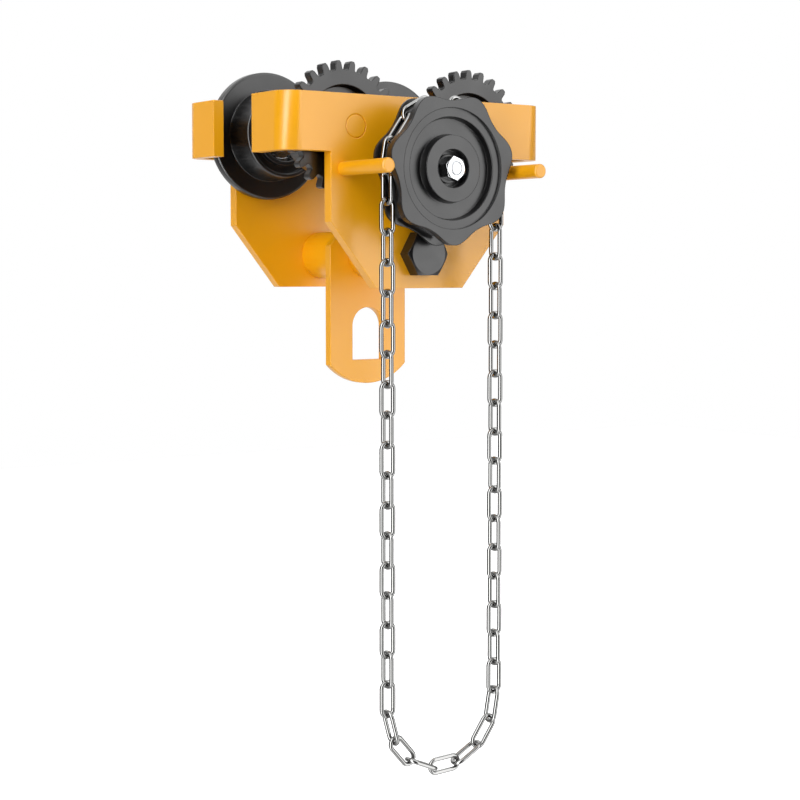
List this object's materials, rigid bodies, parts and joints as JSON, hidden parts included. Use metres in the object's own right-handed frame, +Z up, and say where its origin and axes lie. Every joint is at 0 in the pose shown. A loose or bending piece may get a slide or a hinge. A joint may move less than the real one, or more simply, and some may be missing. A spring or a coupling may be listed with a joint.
{
  "type": "geared monorail trolley",
  "caption": "Geared trolley that runs on the lower flange of an I-beam, driven by an endless hand chain, with a swinging hanger plate for a hoist's hook.",
  "frame": {"origin": "on the beam's running surface at the middle of the treads, midway between the four wheels", "axes": "+X along the beam, +Z up, -Y towards the hand chain wheel"},
  "size_m": [0.27, 0.2712, 0.6037],
  "materials": {
    "yellow_enamel": "semi-gloss enamel over steel",
    "black_enamel": "satin black over cast steel",
    "black_oxide": "black oxide on a high tensile bolt",
    "bearing_steel": "ground bearing steel",
    "zinc_plate": "bright zinc plate",
    "turned_steel": "turned steel",
    "polished_chain": "polished nickel plate",
    "bronze": "cast bush bronze"
  },
  "bodies": {
    "frame": {"front_side_plate": "yellow_enamel", "rear_side_plate": "yellow_enamel", "front_left_axle": "yellow_enamel", "front_right_axle": "yellow_enamel", "rear_left_axle": "yellow_enamel", "rear_right_axle": "yellow_enamel", "front_left_axle_circlip": "bearing_steel", "front_right_axle_circlip": "bearing_steel", "rear_left_axle_circlip": "bearing_steel", "rear_right_axle_circlip": "bearing_steel", "front_left_inner_ring": "bearing_steel", "front_right_inner_ring": "bearing_steel", "rear_left_inner_ring": "bearing_steel", "rear_right_inner_ring": "bearing_steel", "load_bolt": "black_oxide", "castle_nut": "black_oxide", "split_pin": "zinc_plate", "adjusting_washers": "zinc_plate", "front_spacer_tube": "yellow_enamel", "rear_spacer_tube": "yellow_enamel", "left_chain_guide": "yellow_enamel", "right_chain_guide": "yellow_enamel", "pinion_boss": "yellow_enamel", "pinion_bush": "bronze", "chain_over_wheel": "polished_chain"},
    "hand_wheel": {"hand_chain_wheel": "black_enamel", "pinion_shaft": "turned_steel", "wheel_key": "turned_steel", "hub_washer": "zinc_plate", "hub_nut": "zinc_plate"},
    "front_left_wheel": {"front_left_geared_wheel": "black_enamel", "front_left_outer_ring": "bearing_steel", "front_left_hub_circlip": "bearing_steel"},
    "front_right_wheel": {"front_right_geared_wheel": "black_enamel", "front_right_outer_ring": "bearing_steel", "front_right_hub_circlip": "bearing_steel"},
    "rear_left_wheel": {"rear_left_plain_wheel": "black_enamel", "rear_left_outer_ring": "bearing_steel", "rear_left_hub_circlip": "bearing_steel"},
    "rear_right_wheel": {"rear_right_plain_wheel": "black_enamel", "rear_right_outer_ring": "bearing_steel", "rear_right_hub_circlip": "bearing_steel"},
    "front_left_ball_set": {"front_left_balls": "bearing_steel"},
    "front_right_ball_set": {"front_right_balls": "bearing_steel"},
    "rear_left_ball_set": {"rear_left_balls": "bearing_steel"},
    "rear_right_ball_set": {"rear_right_balls": "bearing_steel"},
    "hanger": {"hanger_plate": "yellow_enamel"},
    "hanging_chain": {"left_chain_strand": "polished_chain", "right_chain_strand": "polished_chain", "chain_bottom_bend": "polished_chain"}
  },
  "joints": [
    {"name": "hand_wheel_spin", "type": "hinge", "parent": "frame", "child": "hand_wheel", "pos_m": [0, -0.1149, 0.00409], "axis": [0, 1, 0], "continuous": true, "deforming": ["chain_over_wheel"]},
    {"name": "front_left_wheel_spin", "type": "hinge", "parent": "frame", "child": "front_left_wheel", "pos_m": [-0.06525, -0.0425, 0.039], "axis": [0, 1, 0], "continuous": true},
    {"name": "front_left_ball_orbit", "type": "hinge", "parent": "frame", "child": "front_left_ball_set", "pos_m": [-0.06525, -0.0425, 0.039], "axis": [0, 1, 0], "continuous": true},
    {"name": "front_right_wheel_spin", "type": "hinge", "parent": "frame", "child": "front_right_wheel", "pos_m": [0.06525, -0.0425, 0.039], "axis": [0, 1, 0], "continuous": true},
    {"name": "front_right_ball_orbit", "type": "hinge", "parent": "frame", "child": "front_right_ball_set", "pos_m": [0.06525, -0.0425, 0.039], "axis": [0, 1, 0], "continuous": true},
    {"name": "rear_left_wheel_spin", "type": "hinge", "parent": "frame", "child": "rear_left_wheel", "pos_m": [-0.06525, 0.0425, 0.039], "axis": [0, 1, 0], "continuous": true},
    {"name": "rear_left_ball_orbit", "type": "hinge", "parent": "frame", "child": "rear_left_ball_set", "pos_m": [-0.06525, 0.0425, 0.039], "axis": [0, 1, 0], "continuous": true},
    {"name": "rear_right_wheel_spin", "type": "hinge", "parent": "frame", "child": "rear_right_wheel", "pos_m": [0.06525, 0.0425, 0.039], "axis": [0, 1, 0], "continuous": true},
    {"name": "rear_right_ball_orbit", "type": "hinge", "parent": "frame", "child": "rear_right_ball_set", "pos_m": [0.06525, 0.0425, 0.039], "axis": [0, 1, 0], "continuous": true},
    {"name": "hanger_swing", "type": "hinge", "parent": "frame", "child": "hanger", "pos_m": [0, 0, -0.066], "axis": [0, 1, 0], "range_deg": [-90, 90]},
    {"name": "chain_swing", "type": "hinge", "parent": "frame", "child": "hanging_chain", "pos_m": [0, -0.1149, -0.04781], "axis": [0.9988, 0, 0.0489], "range_deg": [-35, 18]}
  ],
  "couplings": [
    {"joint": "front_left_wheel_spin", "follows": "hand_wheel_spin", "ratio": -0.5},
    {"joint": "front_left_ball_orbit", "follows": "hand_wheel_spin", "ratio": -0.3082},
    {"joint": "front_right_wheel_spin", "follows": "hand_wheel_spin", "ratio": -0.5},
    {"joint": "front_right_ball_orbit", "follows": "hand_wheel_spin", "ratio": -0.3082},
    {"joint": "rear_left_ball_orbit", "follows": "rear_left_wheel_spin", "ratio": 0.6164},
    {"joint": "rear_right_ball_orbit", "follows": "rear_right_wheel_spin", "ratio": 0.6164}
  ]
}
